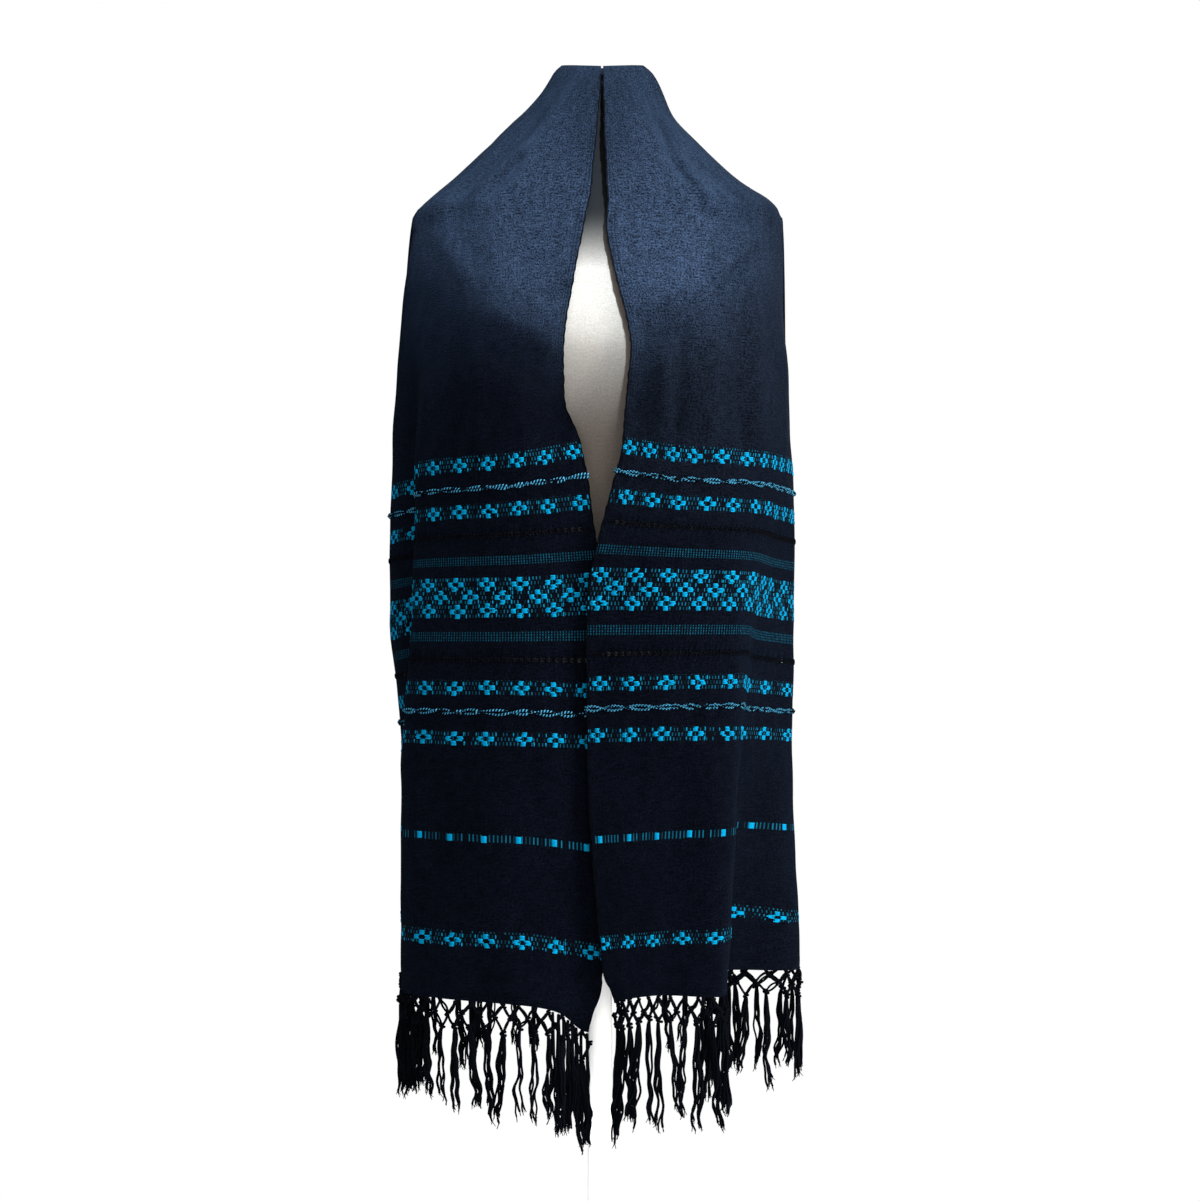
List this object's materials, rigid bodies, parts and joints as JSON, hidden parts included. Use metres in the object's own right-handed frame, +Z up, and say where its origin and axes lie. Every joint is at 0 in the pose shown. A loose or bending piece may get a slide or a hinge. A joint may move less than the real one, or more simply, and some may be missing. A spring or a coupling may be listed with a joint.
{
  "type": "rebozo shawl on a dress form",
  "caption": "Long fringed shawl worn over the neck and shoulders of a limbless dress form, both ends hanging down the front, on a round-footed stand.",
  "frame": {"origin": "centre of the stand foot's underside, on the floor", "axes": "+Z up; the form faces -Y; +X towards the wearer's left"},
  "size_m": [0.428, 0.37, 1.5],
  "materials": {
    "cotton_cloth": "matt hand-woven cotton with a slubby face and turquoise brocade bands",
    "cotton_fringe": "knotted and twisted cotton warp ends",
    "linen": "natural plain-weave linen pulled tight over the form",
    "stand_paint": "satin white paint"
  },
  "bodies": {
    "root": {"shawl_right_front": "cotton_cloth", "shawl_left_front": "cotton_cloth", "shawl_back": "cotton_cloth", "fringe_right": "cotton_fringe", "fringe_left": "cotton_fringe", "dress_form_torso": "linen", "stand_pole": "stand_paint", "stand_base": "stand_paint"}
  },
  "joints": []
}
